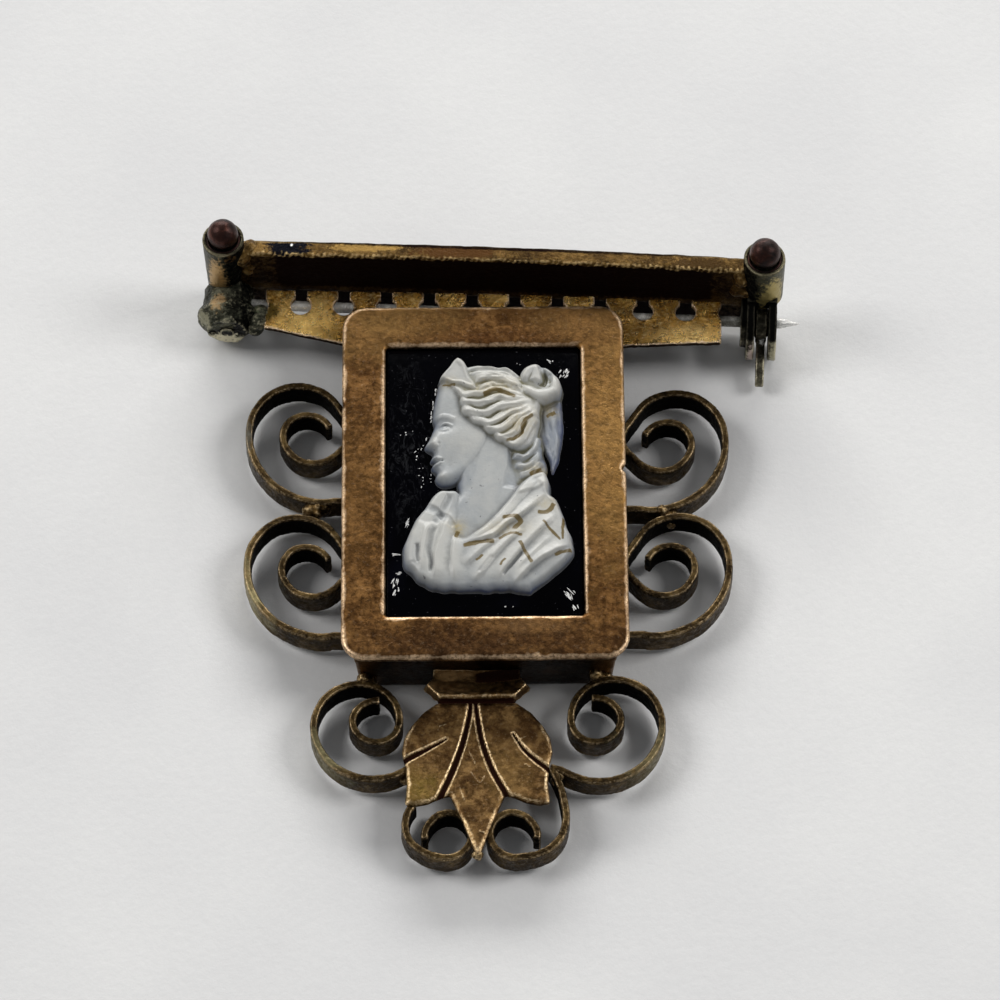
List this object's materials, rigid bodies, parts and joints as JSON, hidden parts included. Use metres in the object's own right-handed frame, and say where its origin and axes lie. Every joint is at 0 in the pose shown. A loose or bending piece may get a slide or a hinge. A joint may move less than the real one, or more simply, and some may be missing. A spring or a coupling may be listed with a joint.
{
  "type": "cameo brooch",
  "caption": "Bar brooch with a box-set stone carved with a pale bust, scroll ribbons, a leaf drop, a hinged pin and a rotary catch.",
  "frame": {"origin": "centre of the flat back of the stone's case", "axes": "+Z out of the face of the stone, +Y up towards the top bar, +X towards the catch"},
  "size_m": [0.042, 0.0466, 0.0098],
  "materials": {
    "gilt_metal": "worn rose-gold plate over tarnished base metal",
    "onyx": "polished",
    "cameo_white": "satin polish, milky",
    "copper_bead": "dark polished copper",
    "steel": "drawn wire, lightly tarnished",
    "catch_metal": "tarnished with bright wear"
  },
  "bodies": {
    "brooch": {"mount": "gilt_metal", "stone": "onyx", "bust": "cameo_white", "bead_left": "copper_bead", "bead_right": "copper_bead", "hinge_rivet": "steel"},
    "pin": {"pin_stem": "steel"},
    "rotor": {"catch_rotor": "catch_metal"}
  },
  "joints": [
    {"name": "pin_hinge", "type": "hinge", "parent": "brooch", "child": "pin", "pos_m": [-0.01769, 0.01616, 0.0022], "axis": [0.0506, 0.9987, 0], "range_deg": [0, 100]},
    {"name": "catch_turn", "type": "hinge", "parent": "brooch", "child": "rotor", "pos_m": [0.01943, 0.01428, 0.0022], "axis": [0.9987, -0.0506, 0], "range_deg": [0, 90]}
  ]
}
